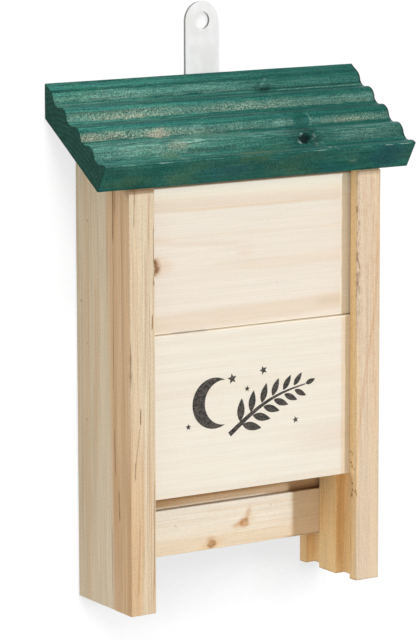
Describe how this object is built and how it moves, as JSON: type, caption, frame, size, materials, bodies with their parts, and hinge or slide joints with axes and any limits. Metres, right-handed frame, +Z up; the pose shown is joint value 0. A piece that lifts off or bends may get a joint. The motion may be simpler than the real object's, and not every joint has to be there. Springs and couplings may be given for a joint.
{
  "type": "bat box",
  "caption": "Shallow wooden bat box for a wall: grooved sides as legs, horizontal boards front and back, open underneath, a sloping green ridged roof board and a steel hanger strap with a hole.",
  "frame": {"origin": "under the middle of the whole box, level with the two leg ends", "axes": "+X to the right seen from the front, +Y towards the wall, +Z up; the front faces -Y"},
  "size_m": [0.226, 0.0744, 0.3675],
  "materials": {
    "natural_wood": "planed softwood, untreated",
    "pale_wood": "planed whitewood, untreated",
    "green_stained_wood": "green wood stain, worn on the ridges",
    "nail_steel": "bright steel, heads stained over",
    "hanger_steel": "white painted, satin",
    "screw_steel": "zinc plated"
  },
  "bodies": {
    "root": {"side_left": "natural_wood", "side_right": "natural_wood", "front_board_lower": "pale_wood", "front_board_upper": "pale_wood", "back_slat": "pale_wood", "back_board_lower": "pale_wood", "back_board_middle": "pale_wood", "back_board_top": "pale_wood", "roof_board": "green_stained_wood", "roof_nails": "nail_steel", "hanger_strap": "hanger_steel", "hanger_screws": "screw_steel"}
  },
  "joints": []
}
